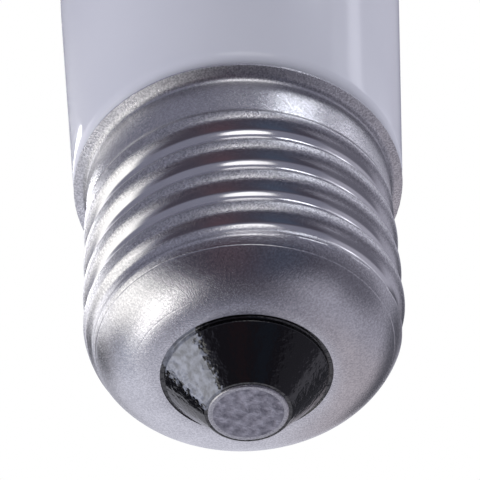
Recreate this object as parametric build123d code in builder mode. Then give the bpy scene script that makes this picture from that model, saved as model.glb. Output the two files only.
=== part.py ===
from build123d import *
import os
from math import asin, atan2, cos, degrees, radians, sin, sqrt

# Halogen bulb with a 27 mm screw cap, standing on its centre contact.
# The Z axis runs from the contact face, at height zero, up to the rounded end of the glass.

# Screw shell, drawn from aluminium sheet, with a rolled right-hand thread
thread_pitch = 3.629
crest_diameter = 26.4
thread_depth = 0.95
thread_start = 5.48  # height of the groove's lower end, on the +X side
thread_turns = 4
runout_turns = 0.25  # the groove fades out over this part of a turn
crest_land = 0.4  # left flat on each crest
shell_wall = 0.3
hole_diameter = 13.9  # opening in the bowl, filled by the insulator
shell_clearance = 4.15  # lower edge of the shell above the contact face
waist_step = 0.15  # the plain waist is this much smaller in radius than the crests
waist_height = 3.15
lip_radius = 0.7
lip_angle = 75.0
lip_flat = 0.63  # straight part of the lip beyond its bend

# Centre contact and its insulator of black glass
contact_diameter = 6.45
contact_thickness = 0.75
contact_edge = 0.15
contact_proud = 0.15  # the rest of its thickness lies in the glass
dish_depth = 0.35
dish_rim = 0.4
eyelet_diameter = 2.6
eyelet_wall = 0.35
insulator_seat = 0.25  # flat left round the contact
insulator_ring = 0.4  # flat left beside the shell
insulator_step = 0.42  # the cone stands this far proud of that ring
insulator_recess = 0.1  # the ring lies this far inside the edge of the shell
insulator_round = 0.12
insulator_thickness = 2.6
insulator_web = 1.2  # glass above the ring
insulator_reach = 2.8  # height to which the glass wets the bowl

# Outer bulb of pearl glass
glass_wall = 1.0
neck_gap = 0.65  # cement between the thread and the neck
neck_depth = 13.5  # how far the neck goes down into the cap
lip_gap = 0.5  # cement left between the lip and the glass
shoulder_radius = 1.25
tube_diameter = 32.0
taper_length = 26.0
taper_blend = 150.0  # curve between the taper and the straight tube
tip_clearance = 14.0  # room between the capsule and the end of the bulb

# Glass stem with its press, its exhaust tube and two leads
stem_diameter = 8.6
stem_wall = 1.0
stem_height = 30.5
press_wedge = 3.5
press_thickness = 2.7
press_height = 4.5
exhaust_diameter = 3.2
exhaust_wall = 0.7
exhaust_length = 24.0
lead_spacing = 5.4
lead_diameter = 0.35
lead_bend = 1.5
lead_drop = 2.0  # the side lead crosses this far below the neck
lead_end = 0.25  # straight end of the side lead, on the lip
seal_diameter = 0.3
seal_length = 3.5  # wire sealed into the press between a lead and its support
side_solder_radius = 0.5
side_solder_length = 1.4
side_solder_round = 0.25

# Halogen capsule of quartz glass on two support wires
support_diameter = 1.0
support_length = 9.0  # from the press to the capsule
capsule_diameter = 13.0
capsule_wall = 1.1
capsule_length = 19.0
capsule_tip_height = 2.5
capsule_tip_diameter = 3.0
pinch_thickness = 3.4
pinch_height = 9.0
pinch_wedge = 3.0
pin_diameter = 0.9
pin_inside = 2.5  # length of a pin held in the pinch
pin_outside = 4.0
foil_width = 2.6
foil_thickness = 0.1
foil_length = 4.5
coil_diameter = 2.4
coil_bore = 1.4
coil_length = 11.0
leg_diameter = 0.4
leg_bend = 0.6

# Screw shell: radii and heights that follow
crest_radius = crest_diameter / 2
root_radius = crest_radius - thread_depth
bore_radius = root_radius - shell_wall
hole_radius = hole_diameter / 2
bowl_radius = crest_radius - hole_radius
bowl_inner = bowl_radius - shell_wall
bowl_top = shell_clearance + bowl_radius
bowl_angle = degrees(asin((bore_radius - hole_radius) / bowl_inner))
waist_radius = crest_radius - waist_step
waist_bore = waist_radius - shell_wall
thread_end = thread_start + thread_turns * thread_pitch
runout_height = runout_turns * thread_pitch

# The groove's section is a wave of equal arcs, higher than the crests so that each keeps its land
land_rise = crest_land**2 / (8 * thread_depth)
groove_depth = thread_depth + land_rise
wave_radius = ((thread_pitch / 2) ** 2 + groove_depth**2) / (4 * groove_depth)
wave_angle = degrees(asin(thread_pitch / 4 / wave_radius))
wave_root = root_radius + wave_radius
wave_crest = root_radius + groove_depth - wave_radius
side_angle = degrees(asin(crest_land / 4 / wave_radius))
runout_angle = degrees(atan2(groove_depth, runout_height))

# The waist joins the thread by half of such a wave
step_height = sqrt(waist_step * (4 * wave_radius - waist_step))
step_angle = degrees(asin(step_height / 2 / wave_radius))
step_bottom = thread_end + runout_height
waist_bottom = step_bottom + step_height
lip_bottom = waist_bottom + waist_height
lip_centre = waist_radius + lip_radius
lip_sin = sin(radians(lip_angle))
lip_cos = cos(radians(lip_angle))
lip_edge = lip_centre - lip_radius * lip_cos + lip_flat * lip_sin
lip_edge_height = lip_bottom + lip_radius * lip_sin + lip_flat * lip_cos
lip_rim = lip_edge - shell_wall * lip_cos
cap_height = lip_edge_height + shell_wall * lip_sin

# Centre contact and insulator: what follows
contact_radius = contact_diameter / 2
dish_radius = contact_radius - dish_rim
eyelet_radius = eyelet_diameter / 2
eyelet_bore = eyelet_radius - eyelet_wall
ring_radius = hole_radius - insulator_ring
ring_bottom = shell_clearance + insulator_recess
cone_top = ring_bottom - insulator_step
insulator_floor = contact_thickness + insulator_thickness
insulator_top = shell_clearance + insulator_reach
insulator_edge = hole_radius + sqrt(bowl_inner**2 - (bowl_radius - insulator_reach) ** 2)

# Outer bulb: what follows
neck_radius = bore_radius - neck_gap
neck_bore = neck_radius - glass_wall
neck_bottom = cap_height - neck_depth
seat_reach = lip_radius + shell_wall + lip_gap
seat_x = lip_centre - seat_reach * lip_cos
seat_z = lip_bottom + seat_reach * lip_sin
neck_curve = (seat_x - neck_radius) / (1 - lip_cos)
neck_top = seat_z - neck_curve * lip_sin
tube_radius = tube_diameter / 2
shoulder_x = seat_x - shoulder_radius * lip_cos
shoulder_z = seat_z + shoulder_radius * lip_sin
taper_angle = degrees(atan2(tube_radius - shoulder_x - shoulder_radius, taper_length))
taper_top = shoulder_z + taper_length

# Stem and leads: what follows
stem_radius = stem_diameter / 2
stem_bore = stem_radius - stem_wall
flare_curve = neck_bore - stem_radius
flare_top = neck_bottom + stem_wall + flare_curve
stem_top = neck_bottom + stem_height
press_bottom = stem_top + press_wedge
press_top = press_bottom + press_height
seal_bottom = (press_bottom + press_top - seal_length) / 2
seal_top = seal_bottom + seal_length
exhaust_tip = stem_top - exhaust_length
lead_offset = lead_spacing / 2
lead_channel = (neck_radius + bore_radius) / 2
lead_low = neck_bottom - lead_drop
lead_reach = seat_reach - lip_gap / 2
lead_seat = lip_centre - lead_reach * lip_cos + lead_diameter * lip_sin
lead_seat_height = lip_bottom + lead_reach * lip_sin + lead_diameter * lip_cos
lead_curve = (lead_seat - lead_channel) / (1 - lip_cos)
lead_top = lead_seat_height - lead_curve * lip_sin

# Capsule: what follows
pinch_bottom = press_top + support_length
pinch_top = pinch_bottom + pinch_height
pin_bottom = pinch_bottom - pin_outside
foil_bottom = pinch_bottom + pin_inside
foil_top = foil_bottom + foil_length
capsule_radius = capsule_diameter / 2
capsule_bore = capsule_radius - capsule_wall
capsule_top = pinch_top + capsule_length
capsule_end = capsule_top + capsule_tip_height
chamber_bottom = pinch_top + capsule_wall
coil_radius = (coil_diameter + coil_bore) / 4
coil_middle = (chamber_bottom + pinch_wedge + capsule_top - capsule_wall) / 2
coil_bottom = coil_middle - coil_length / 2
coil_top = coil_middle + coil_length / 2
overall_length = capsule_end + tip_clearance

os.makedirs("parts", exist_ok=True)


def finish(part, name):
    # Names a piece and writes it
    part.label = name
    export_step(part, f"parts/{name}.step")


def groove_cutter(first_turn, turns, cone_angle=0):
    # Sweeps the groove's section along part of the helix; a cone angle leads it out of the wall
    height = turns * thread_pitch
    slant_pitch = thread_pitch / cos(radians(cone_angle))
    bottom = (0, 0, thread_start + first_turn * thread_pitch)
    path = Helix(slant_pitch, height, root_radius, bottom, cone_angle=cone_angle)
    with BuildPart() as cutter:
        with BuildSketch(Plane(bottom, x_dir=(1, 0, 0), z_dir=(0, -1, 0))):
            with BuildLine():
                CenterArc((wave_root, 0), wave_radius, 180 - wave_angle, 2 * wave_angle)
                arc_size = wave_angle - side_angle
                upper = CenterArc((wave_crest, thread_pitch / 2), wave_radius, -wave_angle, arc_size)
                lower = CenterArc((wave_crest, -thread_pitch / 2), wave_radius, side_angle, arc_size)
                outside = crest_radius + thread_depth
                Polyline(upper @ 1, (outside, (upper @ 1).Y), (outside, (lower @ 0).Y), lower @ 0)
            make_face()
        sweep(path=path, is_frenet=True)
    return cutter.part.rotate(Axis.Z, 360 * first_turn)


def jaw_cut(radius, thickness, bottom, wedge_bottom, wedge_top):
    # What two jaws squeeze away from a round glass tube to leave a flat press, seen along Y
    with BuildPart() as jaws:
        with BuildSketch(Plane.XZ):
            with BuildLine():
                Polyline(
                    (thickness / 2, bottom),
                    (thickness / 2, wedge_bottom),
                    (radius, wedge_top),
                    (2 * radius, wedge_top),
                    (2 * radius, bottom),
                    close=True,
                )
            make_face()
            mirror(about=Plane.YZ)
        extrude(amount=2 * radius, both=True)
    return jaws.part


def round_wire(diameter, bottom, top, offset):
    # A straight upright wire beside the axis
    with BuildPart() as wire:
        with BuildSketch(Plane.XY.offset(bottom)):
            with Locations((0, offset)):
                Circle(diameter / 2)
        extrude(amount=top - bottom)
    return wire.part


# Screw shell: a drawn cup, its groove, then the inside
groove_cutters = [
    groove_cutter(0, 1),
    groove_cutter(1, thread_turns - 1),
    groove_cutter(thread_turns, runout_turns, runout_angle),
]
with BuildPart() as screw_shell:
    with BuildSketch(Plane.XZ):
        with BuildLine():
            Polyline((0, cap_height), (0, shell_clearance), (hole_radius, shell_clearance))
            CenterArc((hole_radius, bowl_top), bowl_radius, -90, 90)
            Line((crest_radius, bowl_top), (crest_radius, step_bottom))
            CenterArc((crest_radius - wave_radius, step_bottom), wave_radius, 0, step_angle)
            CenterArc((waist_radius + wave_radius, waist_bottom), wave_radius, 180, step_angle)
            Line((waist_radius, waist_bottom), (waist_radius, lip_bottom))
            lip = CenterArc((lip_centre, lip_bottom), lip_radius, 180, -lip_angle)
            Polyline(lip @ 1, (lip_edge, lip_edge_height), (lip_rim, cap_height), (0, cap_height))
        make_face()
    revolve(axis=Axis.Z)
    for cutter in groove_cutters:
        add(cutter, mode=Mode.SUBTRACT)
    with BuildSketch(Plane.XZ):
        with BuildLine():
            bowl = CenterArc((hole_radius, bowl_top), bowl_inner, -90, bowl_angle)
            lip = CenterArc((lip_centre, lip_bottom), lip_radius + shell_wall, 180, -lip_angle)
            Polyline(bowl @ 1, (bore_radius, step_bottom), (waist_bore, waist_bottom), lip @ 0)
            Polyline(lip @ 1, (lip_rim, cap_height), (0, cap_height), (0, 0), (hole_radius, 0), bowl @ 0)
        make_face()
    revolve(axis=Axis.Z, mode=Mode.SUBTRACT)
finish(screw_shell.part, "screw_shell")

# Insulator: black glass run into the bowl, with a step beside the shell
with BuildPart() as insulator:
    with BuildSketch(Plane.XZ):
        with BuildLine():
            bowl = CenterArc(
                (hole_radius, bowl_top),
                bowl_inner,
                -90,
                degrees(asin((insulator_edge - hole_radius) / bowl_inner)),
            )
            Polyline(
                bowl @ 0,
                (hole_radius, ring_bottom),
                (ring_radius, ring_bottom),
                (ring_radius, cone_top),
                (contact_radius + insulator_seat, contact_proud),
                (contact_radius, contact_proud),
                (contact_radius, contact_thickness),
                (eyelet_radius, contact_thickness),
                (eyelet_radius, insulator_floor),
                (contact_radius, insulator_floor),
                (ring_radius, ring_bottom + insulator_web),
                bowl @ 1,
            )
        make_face()
    revolve(axis=Axis.Z)
    step_rings = insulator.edges().filter_by(GeomType.CIRCLE).filter_by_position(Axis.Z, cone_top, ring_bottom)
    fillet(step_rings.sort_by(SortBy.RADIUS)[:2], insulator_round)
finish(insulator.part, "insulator")

# Contact eyelet: a brass disc with a dished face and a tube for the lead
with BuildPart() as contact_eyelet:
    with BuildSketch(Plane.XZ):
        with BuildLine():
            Polyline(
                (eyelet_bore, dish_depth),
                (dish_radius, dish_depth),
                (dish_radius, 0),
                (contact_radius, 0),
                (contact_radius, contact_thickness),
                (eyelet_radius, contact_thickness),
                (eyelet_radius, insulator_floor),
                (eyelet_bore, insulator_floor),
                close=True,
            )
        make_face()
    revolve(axis=Axis.Z)
    fillet(contact_eyelet.edges().group_by(Axis.Z)[0].sort_by(SortBy.RADIUS)[-1], contact_edge)
finish(contact_eyelet.part, "contact_eyelet")

# Leads: the centre one ends in the eyelet, the side one comes up over the neck to the lip
with BuildPart() as centre_lead:
    with BuildLine(Plane.YZ) as centre_path:
        FilletPolyline(
            (-lead_offset, seal_bottom),
            (-lead_offset, neck_bottom),
            (0, insulator_floor + lead_drop),
            (0, dish_depth),
            radius=lead_bend,
        )
    with BuildSketch(Plane.XY.offset(seal_bottom)):
        with Locations((0, -lead_offset)):
            Circle(lead_diameter / 2)
    sweep(path=centre_path.wire())
finish(centre_lead.part, "centre_lead")

with BuildPart() as side_lead:
    with BuildLine(Plane.YZ) as side_path:
        FilletPolyline(
            (lead_offset, seal_bottom),
            (lead_offset, lead_low),
            (lead_channel, lead_low),
            (lead_channel, lead_top),
            radius=lead_bend,
        )
        CenterArc((lead_channel + lead_curve, lead_top), lead_curve, 180, -lip_angle)
        Line(
            (lead_seat, lead_seat_height),
            (lead_seat + lead_end * lip_sin, lead_seat_height + lead_end * lip_cos),
        )
    with BuildSketch(Plane.XY.offset(seal_bottom)):
        with Locations((0, lead_offset)):
            Circle(lead_diameter / 2)
    sweep(path=side_path.wire())
finish(side_lead.part, "side_lead")

# Solder that fills the dish of the contact round the end of the centre lead
with BuildPart() as centre_solder:
    with BuildSketch(Plane.XY):
        Circle(dish_radius)
    extrude(amount=dish_depth)
    with BuildSketch(Plane.XY.offset(dish_depth)):
        Circle(eyelet_bore)
    extrude(amount=insulator_thickness / 2)
    add(centre_lead.part, mode=Mode.SUBTRACT)
finish(centre_solder.part, "centre_solder")

# Outer bulb: neck, shoulder, slight taper, straight tube and a round end
with BuildPart() as outer_bulb:
    with BuildSketch(Plane.XZ):
        with BuildLine():
            Line((neck_radius, neck_bottom), (neck_radius, neck_top))
            CenterArc((neck_radius + neck_curve, neck_top), neck_curve, 180, -lip_angle)
            arc_size = lip_angle - taper_angle
            shoulder = CenterArc((shoulder_x, shoulder_z), shoulder_radius, -lip_angle, arc_size)
            FilletPolyline(
                shoulder @ 1,
                (tube_radius, taper_top),
                (tube_radius, overall_length - tube_radius),
                radius=taper_blend,
            )
            CenterArc((0, overall_length - tube_radius), tube_radius, 0, 90)
            offset(amount=glass_wall, side=Side.LEFT)
        make_face()
    revolve(axis=Axis.Z)
finish(outer_bulb.part, "outer_bulb")

# Cement between the shell and the neck, with a channel for the side lead
with BuildPart() as cap_cement:
    with BuildSketch(Plane.XZ):
        with BuildLine():
            lip = CenterArc((lip_centre, lip_bottom), lip_radius + shell_wall, 180, -lip_angle)
            curve = CenterArc((neck_radius + neck_curve, neck_top), neck_curve, 180, -lip_angle)
            Line(lip @ 1, curve @ 1)
            Polyline(
                lip @ 0,
                (waist_bore, waist_bottom),
                (bore_radius, step_bottom),
                (bore_radius, neck_bottom),
                (neck_radius, neck_bottom),
                curve @ 0,
            )
        make_face()
    revolve(axis=Axis.Z)
    add(side_lead.part, mode=Mode.SUBTRACT)
finish(cap_cement.part, "cap_cement")

# Solder on the edge of the lip, over the end of the side lead
with BuildPart() as side_solder:
    with BuildSketch(Plane.YZ):
        with Locations((lip_rim, cap_height)):
            Circle(side_solder_radius)
    extrude(amount=side_solder_length / 2, both=True)
    fillet(side_solder.edges().filter_by(GeomType.CIRCLE), side_solder_round)
    add(screw_shell.part, mode=Mode.SUBTRACT)
    add(side_lead.part, mode=Mode.SUBTRACT)
finish(side_solder.part, "side_solder")

# Wires sealed into the press, support wires and capsule pins, one of each on the centre and side leads
seals = {}
supports = {}
pins = {}
foils = {}
for name, lead_y in (("centre", -lead_offset), ("side", lead_offset)):
    seals[name] = round_wire(seal_diameter, seal_bottom, seal_top, lead_y)
    supports[name] = round_wire(support_diameter, seal_top, pin_bottom, lead_y)
    pins[name] = round_wire(pin_diameter, pin_bottom, foil_bottom, lead_y)
    with BuildPart() as foil:
        with BuildSketch(Plane.XY.offset(foil_bottom)):
            with Locations((0, lead_y)):
                Rectangle(foil_thickness, foil_width)
        extrude(amount=foil_length)
    foils[name] = foil.part
    finish(seals[name], f"{name}_seal_wire")
    finish(supports[name], f"{name}_support_wire")
    finish(pins[name], f"{name}_pin")
    finish(foils[name], f"{name}_foil")

# Glass stem: a flare sealed to the neck, a tube and a press squeezed flat round the wires
with BuildPart() as glass_stem:
    with BuildSketch(Plane.XZ):
        with BuildLine():
            flare = CenterArc((neck_bore, flare_top), flare_curve, -90, -90)
            Polyline(flare @ 1, (stem_radius, press_top), (0, press_top), (0, stem_top))
            bell = CenterArc((neck_bore, flare_top), flare_curve + stem_wall, -90, -90)
            Polyline((0, stem_top), (stem_bore, stem_top), bell @ 1)
            Line(bell @ 0, flare @ 0)
        make_face()
    revolve(axis=Axis.Z)
    add(jaw_cut(stem_radius, press_thickness, press_top, press_bottom, stem_top), mode=Mode.SUBTRACT)
    for wire in (centre_lead.part, side_lead.part, *seals.values(), *supports.values()):
        add(wire, mode=Mode.SUBTRACT)
finish(glass_stem.part, "glass_stem")

# Exhaust tube: hangs inside the stem and is melted shut at its lower end
with BuildPart() as exhaust_tube:
    with BuildSketch(Plane.XZ):
        with BuildLine():
            exhaust_radius = exhaust_diameter / 2
            exhaust_bore = exhaust_radius - exhaust_wall
            tip = CenterArc((0, exhaust_tip + exhaust_radius), exhaust_radius, -90, 90)
            Polyline(
                tip @ 1,
                (exhaust_radius, stem_top),
                (exhaust_bore, stem_top),
                (exhaust_bore, exhaust_tip + exhaust_radius),
                (0, exhaust_tip + exhaust_wall),
                tip @ 0,
            )
        make_face()
    revolve(axis=Axis.Z)
finish(exhaust_tube.part, "exhaust_tube")

# Filament: a coil on the axis, drawn as its outer form, with a leg from each end down to a foil
with BuildPart() as filament:
    with BuildSketch(Plane.XY.offset(coil_bottom)):
        Circle(coil_diameter / 2)
        Circle(coil_bore / 2, mode=Mode.SUBTRACT)
    extrude(amount=coil_length)
    with BuildLine(Plane.YZ) as lower_leg:
        FilletPolyline(
            (-lead_offset, foil_top),
            (-lead_offset, chamber_bottom + pinch_wedge),
            (-coil_radius, chamber_bottom + pinch_wedge),
            (-coil_radius, coil_bottom + leg_bend),
            radius=leg_bend,
        )
    with BuildSketch(Plane.XY.offset(foil_top)):
        with Locations((0, -lead_offset)):
            Circle(leg_diameter / 2)
    sweep(path=lower_leg.wire())
    with BuildLine(Plane.YZ) as upper_leg:
        FilletPolyline(
            (lead_offset, foil_top),
            (lead_offset, coil_top + 2 * leg_bend),
            (coil_radius, coil_top + 2 * leg_bend),
            (coil_radius, coil_top - leg_bend),
            radius=leg_bend,
        )
    with BuildSketch(Plane.XY.offset(foil_top)):
        with Locations((0, lead_offset)):
            Circle(leg_diameter / 2)
    sweep(path=upper_leg.wire())
finish(filament.part, "filament")

# Capsule: a quartz tube with a melted tip, squeezed flat below round the foils
with BuildPart() as capsule:
    with BuildSketch(Plane.XZ):
        with BuildLine():
            tip_radius = capsule_tip_diameter / 2
            dome_bottom = capsule_top - capsule_radius
            tip_angle = degrees(asin(tip_radius / capsule_radius))
            dome = CenterArc((0, dome_bottom), capsule_radius, 0, 90 - tip_angle)
            tip_top = capsule_end - tip_radius
            Line(dome @ 1, (tip_radius, tip_top))
            CenterArc((0, tip_top), tip_radius, 0, 90)
            Polyline(
                (0, capsule_end),
                (0, pinch_bottom),
                (capsule_radius, pinch_bottom),
                dome @ 0,
            )
        make_face()
    revolve(axis=Axis.Z)
    add(
        jaw_cut(capsule_radius, pinch_thickness, pinch_bottom, pinch_top, pinch_top + pinch_wedge),
        mode=Mode.SUBTRACT,
    )
    with BuildSketch(Plane.XZ):
        with BuildLine():
            ceiling = CenterArc((0, dome_bottom), capsule_bore, 0, 90)
            Polyline(
                ceiling @ 1,
                (0, chamber_bottom),
                (capsule_bore, chamber_bottom + pinch_wedge),
                ceiling @ 0,
            )
        make_face()
    revolve(axis=Axis.Z, mode=Mode.SUBTRACT)
    for piece in (filament.part, *pins.values(), *foils.values()):
        add(piece, mode=Mode.SUBTRACT)
finish(capsule.part, "capsule")
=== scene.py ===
import math

import bpy
import numpy as np
from mathutils import Matrix, Vector


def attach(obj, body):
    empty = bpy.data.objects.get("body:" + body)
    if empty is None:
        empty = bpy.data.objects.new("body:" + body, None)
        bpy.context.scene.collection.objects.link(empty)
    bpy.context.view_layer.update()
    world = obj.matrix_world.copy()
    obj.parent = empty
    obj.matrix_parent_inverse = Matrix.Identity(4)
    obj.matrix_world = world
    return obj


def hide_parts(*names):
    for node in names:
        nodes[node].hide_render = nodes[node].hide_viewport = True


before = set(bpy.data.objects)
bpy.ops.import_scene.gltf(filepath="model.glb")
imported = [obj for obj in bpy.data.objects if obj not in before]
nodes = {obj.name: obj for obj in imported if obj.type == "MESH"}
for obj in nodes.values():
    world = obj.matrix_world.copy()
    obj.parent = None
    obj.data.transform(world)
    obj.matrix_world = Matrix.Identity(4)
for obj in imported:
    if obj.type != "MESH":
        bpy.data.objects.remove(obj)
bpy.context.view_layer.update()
print("frame loaded:", len(nodes), "nodes")

turn = 2 * math.pi
mm = 0.001


# mesh helpers

# Rows of points become faces. Each row closes round on itself; the first and last rows meet, or each ends in a pole.
def wrapRows(name, rows, joined=False, startPole=None, endPole=None, sharpAngle=50):
    count, around = rows.shape[:2]
    points = [rows.reshape(-1, 3)]
    index = np.arange(count * around).reshape(count, around)
    low = index if joined else index[:-1]
    high = np.roll(index, -1, axis=0) if joined else index[1:]
    faces = np.stack([low, np.roll(low, -1, 1), np.roll(high, -1, 1), high], -1).reshape(-1, 4).tolist()
    nextPoint = count * around
    if startPole is not None:
        points.append(np.array([startPole]))
        first = index[0]
        faces += np.stack([np.roll(first, -1), first, np.full(around, nextPoint)], -1).tolist()
        nextPoint += 1
    if endPole is not None:
        points.append(np.array([endPole]))
        last = index[-1]
        faces += np.stack([last, np.roll(last, -1), np.full(around, nextPoint)], -1).tolist()
    mesh = bpy.data.meshes.new(name)
    mesh.from_pydata((np.concatenate(points) * mm).tolist(), [], faces)
    mesh.update()
    mesh.shade_smooth()
    mesh.set_sharp_from_angle(angle=math.radians(sharpAngle))
    piece = bpy.data.objects.new(name, mesh)
    bpy.context.scene.collection.objects.link(piece)
    return piece


# A number for each point, for a material to read
def paint(piece, name, values):
    full = np.zeros(len(piece.data.vertices), np.float32)
    full[: values.size] = values.ravel()
    piece.data.attributes.new(name, "FLOAT", "POINT").data.foreach_set("value", full)


# Points along an arc: centre plus radius times the cosine and sine of evenly spaced angles
def arcLine(centre, radius, startAngle, endAngle, count):
    angles = np.radians(np.linspace(startAngle, endAngle, count))
    return np.stack([centre[0] + radius * np.cos(angles), centre[1] + radius * np.sin(angles)], -1)


# Evenly spaced points between two ends
def straightLine(start, end, count):
    return np.linspace(np.array(start, float), np.array(end, float), count)


# Profile lines one after another, without the points that two of them share
def joinLines(*lines):
    line = np.concatenate(lines)
    keep = np.append(True, np.hypot(*np.diff(line, axis=0).T) > 1e-4)
    return line[keep]


# The lesser of two arrays, with the corner between them rounded over a width
def softMin(one, other, width):
    blend = np.clip(0.5 + 0.5 * (other - one) / width, 0, 1)
    return other + (one - other) * blend - width * blend * (1 - blend)


# A profile turned round the axis: radius times the cosine and sine of the angle, with the height as it is
def turnProfile(radius, height, angles):
    return np.stack([radius * np.cos(angles), radius * np.sin(angles), height + 0 * angles], -1)


# Random numbers smoothed round a ring: white noise averaged over neighbours, scaled to lie within plus and minus one
def ringNoise(count, spread, seed):
    noise = np.random.default_rng(seed).standard_normal(count)
    wave = np.fft.rfft(noise) * np.exp(-((np.arange(count // 2 + 1) * spread / count) ** 2))
    smooth = np.fft.irfft(wave, count)
    return smooth / np.abs(smooth).max()


# screw shell

shell = {
    "pitch": 3.629,
    "crest": 13.2,
    "root": 12.25,
    "crestLand": 0.4,
    "threadStart": 5.48,
    "threadTurns": 4.0,
    "runoutTurns": 0.25,
    "wall": 0.3,
    "holeRadius": 6.95,
    "bowlBottom": 4.15,
    "waist": 13.05,
    "waistHeight": 3.15,
    "lipRadius": 0.7,
    "lipAngle": 75.0,
    "lipFlat": 0.63,
    "scribes": [(35.5, 0.03), (70.0, 0.01)],  # rings scribed in the bowl: degrees from its top, depth
    "scribeWidth": 0.0073,  # radians
    "edgeTeeth": 0.03,  # unevenness of the cut edge
    "grooveRounding": 0.08,  # at the corner between groove and wall
    "wear": {"waist": 0.6, "lip": 0.9, "bowl": 0.5},  # how matte; on the thread 0 in the roots, 1 on the crests
    "wornBowlTop": 8.5,
    "around": 400,
}


# Depth of the wave before its crests are cut to a land, and the radius of its two equal arcs
def threadWave():
    depth = shell["crest"] - shell["root"]
    depth += shell["crestLand"] ** 2 / (8 * depth)
    return depth, ((shell["pitch"] / 2) ** 2 + depth**2) / (4 * depth)


# The groove is a wave of two equal arcs carried up a helix: at each angle and height the radius is the lowest wave of
# the turns there, and over the last part of a turn the groove rises out of the wall.
def grooveRadius(angles, heights):
    depth, arc = threadWave()
    turns = angles / turn % 1
    lowest = np.full(np.broadcast(angles, heights).shape, 99.0)
    for lap in range(int(shell["threadTurns"]) + 1):
        along = turns + lap
        above = np.abs(heights - shell["threadStart"] - along * shell["pitch"])
        hollow = shell["root"] + arc - np.sqrt(np.maximum(arc**2 - above**2, 0))
        across = np.minimum(np.abs(shell["pitch"] / 2 - above), arc)
        crown = shell["root"] + depth - arc + np.sqrt(arc**2 - across**2)
        wave = np.where(above < shell["pitch"] / 4, hollow, crown)
        wave = np.where(above > shell["pitch"] / 2, 99.0, wave)
        fade = np.clip((along - shell["threadTurns"]) / shell["runoutTurns"], 0, 1.5)
        lowest = np.minimum(lowest, wave + fade * depth)
    return lowest


# The wall's profile goes up outside, over the edge of the lip and down inside; the groove then lowers the outer radius
def makeShell():
    s = shell
    arc = threadWave()[1]
    step = s["crest"] - s["waist"]
    stepHeight = math.sqrt(step * (4 * arc - step))
    stepAngle = math.degrees(math.asin(stepHeight / 2 / arc))
    bowl = s["crest"] - s["holeRadius"]
    bowlTop = s["bowlBottom"] + bowl
    stepBottom = s["threadStart"] + (s["threadTurns"] + s["runoutTurns"]) * s["pitch"]
    waistBottom = stepBottom + stepHeight
    lipBottom = waistBottom + s["waistHeight"]
    lipCentre = s["waist"] + s["lipRadius"]
    bore = s["root"] - s["wall"]
    lipSin, lipCos = math.sin(math.radians(s["lipAngle"])), math.cos(math.radians(s["lipAngle"]))
    lipEnd = np.array([lipCentre - s["lipRadius"] * lipCos, lipBottom + s["lipRadius"] * lipSin])
    edge = lipEnd + s["lipFlat"] * np.array([lipSin, lipCos])
    rim = edge + s["wall"] * np.array([-lipCos, lipSin])
    innerLip = s["lipRadius"] + s["wall"]
    inner = np.array([lipCentre - innerLip * lipCos, lipBottom + innerLip * lipSin])
    bowlCentre = (s["holeRadius"], bowlTop)
    boreAngle = math.degrees(math.acos((bore - s["holeRadius"]) / (bowl - s["wall"])))
    closer = [np.linspace(place - 1.0, place + 1.0, 9) for place, _ in s["scribes"]]
    bowlAngles = np.radians(np.unique(np.concatenate([np.linspace(0, 90, 62), *closer]))[::-1])
    outer = joinLines(
        np.stack([bowlCentre[0] + bowl * np.cos(bowlAngles), bowlCentre[1] - bowl * np.sin(bowlAngles)], -1),
        straightLine((s["crest"], bowlTop), (s["crest"], stepBottom), 84),
        arcLine((s["crest"] - arc, stepBottom), arc, 0, stepAngle, 6),
        arcLine((s["waist"] + arc, waistBottom), arc, 180 + stepAngle, 180, 6),
        straightLine((s["waist"], waistBottom), (s["waist"], lipBottom), 12),
        arcLine((lipCentre, lipBottom), s["lipRadius"], 180, 180 - s["lipAngle"], 12),
        straightLine(lipEnd, edge, 7),
    )
    inside = joinLines(
        straightLine(rim, inner, 4),
        arcLine((lipCentre, lipBottom), innerLip, 180 - s["lipAngle"], 180, 6),
        straightLine((s["waist"] - s["wall"], waistBottom), (bore, stepBottom), 3),
        straightLine((bore, stepBottom), (bore, bowlTop - 2), 4),
        arcLine(bowlCentre, bowl - s["wall"], -boreAngle, -90, 10),
    )
    angles = np.linspace(0, turn, s["around"], endpoint=False)[None, :]
    radius, height = outer[:, :1] + 0 * angles, outer[:, 1:] + 0 * angles
    radius = np.where(height < lipBottom, softMin(radius, grooveRadius(angles, height), s["grooveRounding"]), radius)
    for place, scribeDepth in s["scribes"]:
        faint = np.clip(0.6 + 0.5 * ringNoise(s["around"], 60, int(place)), 0, 1)
        away = (bowlAngles[:, None] - math.radians(place)) / s["scribeWidth"]
        dip = scribeDepth * np.exp(-(away**2)) * faint
        radius[: len(bowlAngles)] -= dip * np.cos(bowlAngles)[:, None]
        height[: len(bowlAngles)] += dip * np.sin(bowlAngles)[:, None]
    teeth = ringNoise(s["around"], 5, 3) * s["edgeTeeth"]
    radius[-1] -= np.abs(teeth)
    innerRadius, innerHeight = inside[:, :1] + 0 * angles, inside[:, 1:] + 0 * angles
    innerRadius[0] -= np.abs(teeth)
    rows = turnProfile(np.concatenate([radius, innerRadius]), np.concatenate([height, innerHeight]), angles)
    piece = wrapRows("screw_shell_skin", rows, joined=True)
    worn = np.clip((radius - s["root"]) / (s["crest"] - s["root"]), 0, 1) ** 2  # 1 on the crests, 0 in the roots
    worn = np.where(height > stepBottom + 0.2, s["wear"]["waist"], worn)
    worn = np.where(height > lipBottom + s["lipRadius"] / 2, s["wear"]["lip"], worn)
    worn = np.where(height < s["wornBowlTop"], s["wear"]["bowl"], worn)
    paint(piece, "worn", worn)
    return piece


shellSkin = makeShell()
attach(shellSkin, "root")
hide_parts("screw_shell")
print("screw shell made:", len(shellSkin.data.polygons), "faces")


# outer bulb

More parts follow.
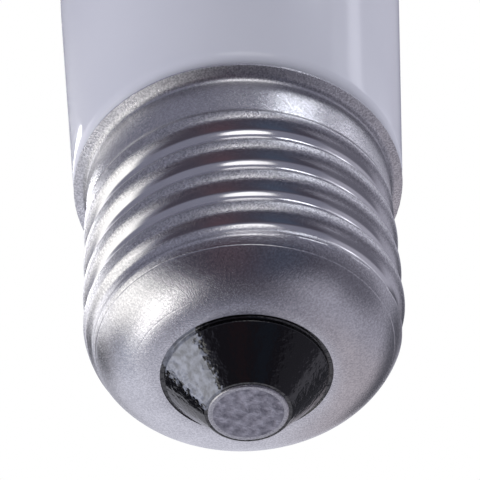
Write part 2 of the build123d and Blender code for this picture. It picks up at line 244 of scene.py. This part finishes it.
bulb = {
    "wall": 1.0,
    "neck": 11.3,
    "neckBottom": 12.4771,
    "neckCurve": 2.7817,
    "neckTop": 23.61,
    "seat": (13.3618, 26.297),
    "flareAngle": 75.0,
    "shoulder": 1.25,
    "tube": 16.0,
    "taperLength": 26.0,
    "blend": 150.0,
    "length": 104.477,
    "around": 160,
}


# The glass: neck, flare, shoulder, taper and round end outside, and the same line a wall's thickness inside
def makeBulb():
    b = bulb
    tilt = math.radians(b["flareAngle"])
    centre = (b["seat"][0] - b["shoulder"] * math.cos(tilt), b["seat"][1] + b["shoulder"] * math.sin(tilt))
    slope = math.atan2(b["tube"] - centre[0] - b["shoulder"], b["taperLength"])
    taperTop = centre[1] + b["taperLength"]
    reach = b["blend"] * math.tan(slope / 2)
    blendStart = (b["tube"] - reach * math.sin(slope), taperTop - reach * math.cos(slope))

    def line(inset):
        curve = b["shoulder"] - inset
        return joinLines(
            straightLine((b["neck"] - inset, b["neckBottom"]), (b["neck"] - inset, b["neckTop"]), 8),
            arcLine((b["neck"] + b["neckCurve"], b["neckTop"]), b["neckCurve"] + inset, 180, 180 - b["flareAngle"], 14),
            arcLine(centre, curve, -b["flareAngle"], -math.degrees(slope), 16),
            straightLine(
                (centre[0] + curve * math.cos(slope), centre[1] - curve * math.sin(slope)),
                (blendStart[0] - inset * math.cos(slope), blendStart[1] + inset * math.sin(slope)),
                20,
            ),
            arcLine((b["tube"] - b["blend"], taperTop + reach), b["blend"] - inset, -math.degrees(slope), 0, 8),
            straightLine((b["tube"] - inset, taperTop + reach), (b["tube"] - inset, b["length"] - b["tube"]), 20),
            arcLine((0, b["length"] - b["tube"]), b["tube"] - inset, 0, 88, 30),
        )

    angles = np.linspace(0, turn, b["around"], endpoint=False)[None, :]
    profile = np.concatenate([line(b["wall"])[::-1], line(0)])
    rows = turnProfile(profile[:, :1] + 0 * angles, profile[:, 1:], angles)
    return wrapRows("outer_bulb_skin", rows, startPole=(0, 0, b["length"] - b["wall"]), endPole=(0, 0, b["length"]))


bulbSkin = makeBulb()
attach(bulbSkin, "root")
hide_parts("outer_bulb")
print("outer bulb made:", len(bulbSkin.data.polygons), "faces")


# material helpers

def newMaterial(name):
    material = bpy.data.materials.new(name)
    material.use_nodes = True
    return material, material.node_tree, material.node_tree.nodes["Principled BSDF"]


def addNode(tree, kind, **settings):
    node = tree.nodes.new(kind)
    for key, value in settings.items():
        setattr(node, key, value)
    return node


# A node that maps one range of numbers to another
def rangeNode(tree, value, fromLow, fromHigh, toLow, toHigh):
    node = addNode(tree, "ShaderNodeMapRange")
    tree.links.new(value, node.inputs["Value"])
    for key, number in (("From Min", fromLow), ("From Max", fromHigh), ("To Min", toLow), ("To Max", toHigh)):
        node.inputs[key].default_value = number
    return node.outputs["Result"]


def mathNode(tree, operation, one, other):
    node = addNode(tree, "ShaderNodeMath", operation=operation)
    for socket, value in zip(node.inputs, (one, other)):
        if isinstance(value, (int, float)):
            socket.default_value = value
        else:
            tree.links.new(value, socket)
    return node.outputs[0]


def colourMix(tree, factor, one, other):
    node = addNode(tree, "ShaderNodeMix", data_type="RGBA")
    tree.links.new(factor, node.inputs[0])
    for key, value in ((6, one), (7, other)):
        if isinstance(value, tuple):
            node.inputs[key].default_value = (*value, 1)
        else:
            tree.links.new(value, node.inputs[key])
    return node.outputs[2]


# Shared effect: fine grain, a noise of a given size with hard contrast
def grainGroup():
    group = bpy.data.node_groups.new("fine grain", "ShaderNodeTree")
    group.interface.new_socket("Grains per metre", in_out="INPUT", socket_type="NodeSocketFloat")
    group.interface.new_socket("Stretch", in_out="INPUT", socket_type="NodeSocketVector")
    group.interface.new_socket("Grain", in_out="OUTPUT", socket_type="NodeSocketFloat")
    group.interface.new_socket("Cloud", in_out="OUTPUT", socket_type="NodeSocketFloat")
    start, end = group.nodes.new("NodeGroupInput"), group.nodes.new("NodeGroupOutput")
    place = addNode(group, "ShaderNodeTexCoord")
    scale = addNode(group, "ShaderNodeVectorMath", operation="MULTIPLY")
    group.links.new(place.outputs["Object"], scale.inputs[0])
    group.links.new(start.outputs["Stretch"], scale.inputs[1])
    fine = addNode(group, "ShaderNodeTexNoise")
    fine.inputs["Detail"].default_value = 2
    group.links.new(scale.outputs[0], fine.inputs["Vector"])
    group.links.new(start.outputs["Grains per metre"], fine.inputs["Scale"])
    broad = addNode(group, "ShaderNodeTexNoise")
    broad.inputs["Detail"].default_value = 5
    group.links.new(scale.outputs[0], broad.inputs["Vector"])
    wide = mathNode(group, "MULTIPLY", start.outputs["Grains per metre"], 0.06)
    group.links.new(wide, broad.inputs["Scale"])
    group.links.new(rangeNode(group, fine.outputs["Fac"], 0.36, 0.64, 0, 1), end.inputs["Grain"])
    group.links.new(rangeNode(group, broad.outputs["Fac"], 0.35, 0.65, 0, 1), end.inputs["Cloud"])
    return group


grain = grainGroup()


def useGrain(tree, perMetre, stretch=(1, 1, 1)):
    node = addNode(tree, "ShaderNodeGroup", node_tree=grain)
    node.inputs["Grains per metre"].default_value = perMetre
    node.inputs["Stretch"].default_value = stretch
    return node


def addBump(tree, shader, height, strength, distance):
    node = addNode(tree, "ShaderNodeBump")
    node.inputs["Strength"].default_value = strength
    node.inputs["Distance"].default_value = distance
    tree.links.new(height, node.inputs["Height"])
    tree.links.new(node.outputs["Normal"], shader.inputs["Normal"])


def dress(piece, material):
    piece.data.materials.clear()
    piece.data.materials.append(material)


# finishes

aluminium = {
    "light": (0.8, 0.8, 0.82),
    "dark": (0.3, 0.3, 0.33),
    "smooth": 0.13,
    "rough": 0.27,
    "specksPerMetre": 6200,
    "pitsPerMetre": 12500,
    "pitDepth": 0.00002,
}


# Rolled aluminium: smooth in the roots, matte and grainy where the "worn" number is high
def aluminiumFinish():
    material, tree, shader = newMaterial("rolled aluminium")
    specks = useGrain(tree, aluminium["specksPerMetre"])
    worn = addNode(tree, "ShaderNodeAttribute", attribute_name="worn").outputs["Fac"]
    dots = mathNode(tree, "MULTIPLY", specks.outputs["Grain"], worn)
    haze = mathNode(tree, "MULTIPLY", specks.outputs["Cloud"], 0.3)
    shade = mathNode(tree, "ADD", mathNode(tree, "MULTIPLY", dots, 0.75), mathNode(tree, "MULTIPLY", haze, 0.4))
    tree.links.new(colourMix(tree, shade, aluminium["light"], aluminium["dark"]), shader.inputs["Base Color"])
    gloss = rangeNode(tree, worn, 0, 1, aluminium["smooth"], aluminium["rough"])
    tree.links.new(mathNode(tree, "ADD", gloss, mathNode(tree, "MULTIPLY", haze, 0.2)), shader.inputs["Roughness"])
    shader.inputs["Metallic"].default_value = 1
    pits = mathNode(tree, "MULTIPLY", useGrain(tree, aluminium["pitsPerMetre"]).outputs["Grain"], worn)
    addBump(tree, shader, pits, 0.5, aluminium["pitDepth"])
    return material


dress(shellSkin, aluminiumFinish())

pearl = {
    "body": (0.45, 0.46, 0.56),
    "cloud": (0.48, 0.49, 0.585),
    "rough": 0.5,
    "clear": 0.08,
    "coat": 0.8,
    "gloss": 0.04,
    "mistPerMetre": 900,
}


# Pearl glass: a milky body under a glossy outer face
def pearlFinish():
    material, tree, shader = newMaterial("pearl glass")
    mist = useGrain(tree, pearl["mistPerMetre"])
    tree.links.new(colourMix(tree, mist.outputs["Cloud"], pearl["body"], pearl["cloud"]), shader.inputs["Base Color"])
    shader.inputs["Roughness"].default_value = pearl["rough"]
    shader.inputs["Transmission Weight"].default_value = pearl["clear"]
    shader.inputs["Coat Weight"].default_value = pearl["coat"]
    shader.inputs["Coat Roughness"].default_value = pearl["gloss"]
    return material


dress(bulbSkin, pearlFinish())

blackGlass = {
    "body": (0.0015, 0.0015, 0.002),
    "gloss": 0.05,
    "dull": 0.1,
    "index": 1.75,
    "ripplesPerMetre": 1700,
    # grey patch on one side: partly residue on the glass, partly a painted reflection of the window
    "residueAndReflection": (0.2, 0.215, 0.275),
    "residueAndReflectionFrom": 0.03,  # share of a turn about the axis
    "residueAndReflectionTo": 0.152,
    "residueAndReflectionEdge": 0.008,
    "tear": 0.012,
    "tearsPerMetre": 2600,
}


# Black glass: glossy, with the ripples of glass that ran and set; on one side a grey patch with torn edges that is
# partly residue and partly a painted reflection of the window
def blackGlassFinish():
    g = blackGlass
    material, tree, shader = newMaterial("black glass")
    ripples = useGrain(tree, g["ripplesPerMetre"])
    place = addNode(tree, "ShaderNodeTexCoord")
    bearing = addNode(tree, "ShaderNodeTexGradient", gradient_type="RADIAL")
    tree.links.new(place.outputs["Object"], bearing.inputs["Vector"])
    torn = rangeNode(tree, useGrain(tree, g["tearsPerMetre"]).outputs["Grain"], 0, 1, -g["tear"], g["tear"])
    # Painted reflection: a lighter wedge on one side, the window's reflection painted into the colour together with
    # real residue, blotched by the ripples to stand for its glints
    where = mathNode(tree, "ADD", bearing.outputs["Fac"], torn)
    after = rangeNode(tree, where, g["residueAndReflectionFrom"], g["residueAndReflectionFrom"] + g["residueAndReflectionEdge"], 0, 1)
    before = rangeNode(tree, where, g["residueAndReflectionTo"] - g["residueAndReflectionEdge"], g["residueAndReflectionTo"], 1, 0)
    blotches = rangeNode(tree, ripples.outputs["Grain"], 0, 1, 0.45, 1)
    residueAndReflectionMask = mathNode(tree, "MULTIPLY", mathNode(tree, "MULTIPLY", after, before), blotches)
    tree.links.new(colourMix(tree, residueAndReflectionMask, g["body"], g["residueAndReflection"]), shader.inputs["Base Color"])
    shader.inputs["IOR"].default_value = g["index"]
    tree.links.new(rangeNode(tree, ripples.outputs["Cloud"], 0, 1, g["gloss"], g["dull"]), shader.inputs["Roughness"])
    addBump(tree, shader, ripples.outputs["Grain"], 0.4, 0.00006)
    return material


dress(nodes["insulator"], blackGlassFinish())

solder = {"light": (0.46, 0.455, 0.51), "dark": (0.22, 0.22, 0.26), "spotsPerMetre": 21000, "crystalsPerMetre": 4200}


# Solder: dull grey metal, mottled where it set
def solderFinish():
    material, tree, shader = newMaterial("dull solder")
    spots = useGrain(tree, solder["spotsPerMetre"])
    crystals = useGrain(tree, solder["crystalsPerMetre"])
    facets = rangeNode(tree, crystals.outputs["Grain"], 0, 1, 0.8, 1)
    mottle = mathNode(tree, "MULTIPLY", spots.outputs["Cloud"], facets)
    tree.links.new(colourMix(tree, mottle, solder["light"], solder["dark"]), shader.inputs["Base Color"])
    tree.links.new(rangeNode(tree, spots.outputs["Cloud"], 0, 1, 0.35, 0.55), shader.inputs["Roughness"])
    shader.inputs["Metallic"].default_value = 1
    addBump(tree, shader, mottle, 0.6, 0.00008)
    return material


solderMetal = solderFinish()
dress(nodes["centre_solder"], solderMetal)
dress(nodes["side_solder"], solderMetal)

wires = {  # light tone, dark tone, roughness
    "tinned brass": ((0.6, 0.6, 0.63), (0.42, 0.42, 0.45), 0.34),
    "lead wire": ((0.68, 0.47, 0.34), (0.5, 0.34, 0.25), 0.3),
    "support wire": ((0.62, 0.62, 0.62), (0.45, 0.45, 0.45), 0.3),
    "foil": ((0.55, 0.55, 0.57), (0.45, 0.45, 0.47), 0.35),
    "tungsten": ((0.33, 0.33, 0.34), (0.22, 0.22, 0.23), 0.4),
}


# Other metals: a plain tone with fine drawing marks
def wireFinish(name):
    light, dark, rough = wires[name]
    material, tree, shader = newMaterial(name)
    marks = useGrain(tree, 6000, (1, 1, 0.15))
    tree.links.new(colourMix(tree, marks.outputs["Grain"], light, dark), shader.inputs["Base Color"])
    tree.links.new(rangeNode(tree, marks.outputs["Cloud"], 0, 1, rough, rough + 0.12), shader.inputs["Roughness"])
    shader.inputs["Metallic"].default_value = 1
    addBump(tree, shader, marks.outputs["Grain"], 0.2, 0.00002)
    return material


dress(nodes["contact_eyelet"], wireFinish("tinned brass"))
copperWire = wireFinish("lead wire")
steelWire = wireFinish("support wire")
greyFoil = wireFinish("foil")
tungstenWire = wireFinish("tungsten")
for side in ("centre", "side"):
    dress(nodes[side + "_lead"], copperWire)
    dress(nodes[side + "_seal_wire"], steelWire)
    dress(nodes[side + "_support_wire"], steelWire)
    dress(nodes[side + "_pin"], steelWire)
    dress(nodes[side + "_foil"], greyFoil)
dress(nodes["filament"], tungstenWire)


# Clear glass for the stem, its tube and the capsule
def clearFinish(name, tint, rough):
    material, tree, shader = newMaterial(name)
    ripple = useGrain(tree, 1800)
    shader.inputs["Base Color"].default_value = (*tint, 1)
    shader.inputs["Transmission Weight"].default_value = 1
    shader.inputs["IOR"].default_value = 1.47
    tree.links.new(rangeNode(tree, ripple.outputs["Cloud"], 0, 1, rough, rough + 0.05), shader.inputs["Roughness"])
    addBump(tree, shader, ripple.outputs["Cloud"], 0.2, 0.0001)
    return material


stemGlass = clearFinish("stem glass", (0.94, 0.97, 0.96), 0.02)
dress(nodes["glass_stem"], stemGlass)
dress(nodes["exhaust_tube"], stemGlass)
dress(nodes["capsule"], clearFinish("quartz glass", (0.98, 0.98, 0.98), 0.01))

cement = {"light": (0.6, 0.56, 0.5), "dark": (0.46, 0.43, 0.38), "crumbsPerMetre": 4200}


# Cement: matte and crumbly
def cementFinish():
    material, tree, shader = newMaterial("cap cement")
    crumbs = useGrain(tree, cement["crumbsPerMetre"])
    tone = colourMix(tree, crumbs.outputs["Grain"], cement["light"], cement["dark"])
    tree.links.new(tone, shader.inputs["Base Color"])
    shader.inputs["Roughness"].default_value = 0.9
    addBump(tree, shader, crumbs.outputs["Grain"], 0.6, 0.00008)
    return material


dress(nodes["cap_cement"], cementFinish())
print("finishes made:", len(bpy.data.materials))


# stage: dome, lamps, floor, world and camera

dome = {
    "radius": 420,
    "base": (0.21, 0.21, 0.27),
    "patches": [  # azimuth, half width, height, half height, soft edge in degrees, tone
        (108, 44, -8, 76, 16, (0.4, 0.39, 0.46)),  # grey wall on the right
        (100, 32, 41, 5, 4, (0.8, 0.8, 0.9)),
        (88, 6, 43, 6, 6, (1.9, 1.9, 2.1)),
        (84, 24, -18, 20, 10, (0.14, 0.135, 0.17)),
        (50, 14, 57, 9, 8, (3.8, 3.9, 4.2)),  # light high on the right
        (-120, 24, 14, 24, 14, (1.5, 1.48, 1.52)),  # light wall on the left
        (-168, 36, -6, 42, 14, (0.74, 0.74, 0.83)),  # white table behind
        (154, 18, -12, 40, 14, (0.5, 0.46, 0.5)),
        (0, 180, 78, 14, 14, (0.2, 0.2, 0.25)),
        (0, 180, -84, 14, 12, (0.09, 0.085, 0.11)),
        (5, 58, -54, 42, 14, (0.062, 0.055, 0.075)),  # dark room on the camera's side
        (-8, 10, -46, 26, 14, (0.095, 0.06, 0.075)),
        (32, 12, -46, 26, 14, (0.065, 0.08, 0.12)),
        (142, 22, 13, 15, 8, (0.09, 0.09, 0.11)),
        (-101, 29, -51, 10, 7, (2.5, 2.42, 2.36)),  # sunlit strip below the window
        (-130, 12, -34, 9, 8, (0.42, 0.45, 0.55)),
        (-155, 10, 20, 8, 6, (0.45, 0.45, 0.5)),
        (-131, 11, 4, 12, 7, (0.03, 0.03, 0.04)),
        (-88, 20, -26, 24, 12, (1.45, 1.42, 1.37)),  # window
    ],
}


# The surroundings that metal and glass mirror: a sphere whose tone goes from one soft-edged patch to the next
def makeDome():
    across = np.linspace(-180, 180, 145)[None, :]
    up = np.linspace(-90, 90, 73)[:, None]
    side, height = np.radians(across), np.radians(up)
    level = np.cos(height)
    spots = np.stack([np.sin(side) * level, -np.cos(side) * level, np.sin(height) + 0 * side], -1)
    tone = np.zeros(spots.shape) + dome["base"]
    for azimuth, halfWidth, middleHeight, halfHeight, edge, colour in dome["patches"]:
        away = np.abs((across - azimuth + 180) % 360 - 180)
        sideways = np.clip((halfWidth - away) / edge + 0.5, 0, 1)
        cover = sideways * np.clip((halfHeight - np.abs(up - middleHeight)) / edge + 0.5, 0, 1)
        cover = cover * cover * (3 - 2 * cover)
        tone += (np.array(colour) - tone) * cover[..., None]
    index = np.arange(tone[..., 0].size).reshape(tone.shape[:2])
    faces = np.stack([index[:-1, :-1], index[:-1, 1:], index[1:, 1:], index[1:, :-1]], -1).reshape(-1, 4)
    mesh = bpy.data.meshes.new("studio_dome")
    mesh.from_pydata(((spots * dome["radius"] + [0, 0, 12]).reshape(-1, 3) * mm).tolist(), [], faces.tolist())
    full = np.concatenate([tone, np.ones(tone.shape[:2] + (1,))], -1).astype(np.float32)
    mesh.attributes.new("tone", "FLOAT_COLOR", "POINT").data.foreach_set("color", full.ravel())
    piece = bpy.data.objects.new("studio_dome", mesh)
    bpy.context.scene.collection.objects.link(piece)
    piece.visible_camera = piece.visible_diffuse = piece.visible_shadow = piece.visible_transmission = False
    material = bpy.data.materials.new("studio dome")
    material.use_nodes = True
    tree = material.node_tree
    tree.nodes.clear()
    glow = addNode(tree, "ShaderNodeEmission")
    tree.links.new(addNode(tree, "ShaderNodeAttribute", attribute_name="tone").outputs["Color"], glow.inputs["Color"])
    tree.links.new(glow.outputs[0], addNode(tree, "ShaderNodeOutputMaterial").inputs["Surface"])
    mesh.materials.append(material)


makeDome()

lamps = {
    "window": {"azimuth": -82, "height": -15, "size": (350, 620), "watts": 1.5, "colour": (1, 0.985, 0.965)},
    "overhead": {"azimuth": 8, "height": 15, "size": (220, 280), "watts": 0.22, "colour": (1, 0.98, 0.95)},
    "left_back": {"azimuth": -137, "height": 43.8, "size": (100, 46), "watts": 0.1, "colour": (1, 1, 1)},
    "right_side": {"azimuth": 108, "height": 4, "size": (380, 420), "watts": 0.9, "colour": (0.98, 0.97, 1)},
}
lampDistance = 400
unmirrored = ("window", "right_side")  # metal and glass mirror the dome in their place
middle = Vector((0, 0, 0.012))
for lampName, lamp in lamps.items():
    across, up = math.radians(lamp["azimuth"]), math.radians(lamp["height"])
    out = Vector((math.sin(across) * math.cos(up), -math.cos(across) * math.cos(up), math.sin(up)))
    data = bpy.data.lights.new(lampName, "AREA")
    data.shape = "RECTANGLE"
    data.size, data.size_y = (side * mm for side in lamp["size"])
    data.energy = lamp["watts"]
    data.color = lamp["colour"]
    light = bpy.data.objects.new(lampName, data)
    light.visible_glossy = lampName not in unmirrored
    light.location = middle + out * lampDistance * mm
    light.rotation_mode = "QUATERNION"
    light.rotation_quaternion = out.to_track_quat("Z", "Y")
    bpy.context.scene.collection.objects.link(light)

floorShape = {"radius": 5000, "height": -620, "rings": 24, "tone": 0.88}
floorAngles = np.linspace(0, turn, 64, endpoint=False)[None, :]
floorRadius = np.linspace(floorShape["radius"], 1, floorShape["rings"])[:, None] + 0 * floorAngles
floorRows = turnProfile(floorRadius, np.full((floorShape["rings"], 1), floorShape["height"]), floorAngles)
floor = wrapRows("pale_floor", floorRows, endPole=(0, 0, floorShape["height"]))
floorMaterial, floorTree, floorShader = newMaterial("pale floor")
floorShader.inputs["Base Color"].default_value = (*[floorShape["tone"]] * 3, 1)
floorShader.inputs["Roughness"].default_value = 0.9
dress(floor, floorMaterial)

world = bpy.data.worlds.new("studio")
world.use_nodes = True
bpy.context.scene.world = world
tree = world.node_tree
path = addNode(tree, "ShaderNodeLightPath")
seen = mathNode(tree, "MAXIMUM", path.outputs["Is Camera Ray"], path.outputs["Is Glossy Ray"])
seen = mathNode(tree, "MAXIMUM", seen, path.outputs["Is Transmission Ray"])
back = tree.nodes["Background"]
back.inputs["Color"].default_value = (1, 1, 1, 1)
tree.links.new(rangeNode(tree, seen, 0, 1, 0.75, 1.0), back.inputs["Strength"])

view = {"position": (0, -143.71, -128.45), "upward": 45.86, "turned": -0.02, "roll": -2.6, "lens": 183.3}
tiltUp, turned, roll = (math.radians(view[key]) for key in ("upward", "turned", "roll"))
ahead = Vector((math.sin(turned) * math.cos(tiltUp), math.cos(turned) * math.cos(tiltUp), math.sin(tiltUp)))
level = Vector((math.cos(turned), -math.sin(turned), 0))
above = level.cross(ahead)
right = math.cos(roll) * level + math.sin(roll) * above
top = math.cos(roll) * above - math.sin(roll) * level
cameraData = bpy.data.cameras.new("photo camera")
cameraData.lens = view["lens"]
cameraData.sensor_width = 36
cameraData.clip_start = 0.01
camera = bpy.data.objects.new("photo_camera", cameraData)
bpy.context.scene.collection.objects.link(camera)
facing = Matrix((right, top, -ahead)).transposed().to_4x4()
camera.matrix_world = Matrix.Translation(Vector(view["position"]) * mm) @ facing
bpy.context.scene.camera = camera
bpy.context.scene.view_settings.view_transform = "Standard"
print("stage made")
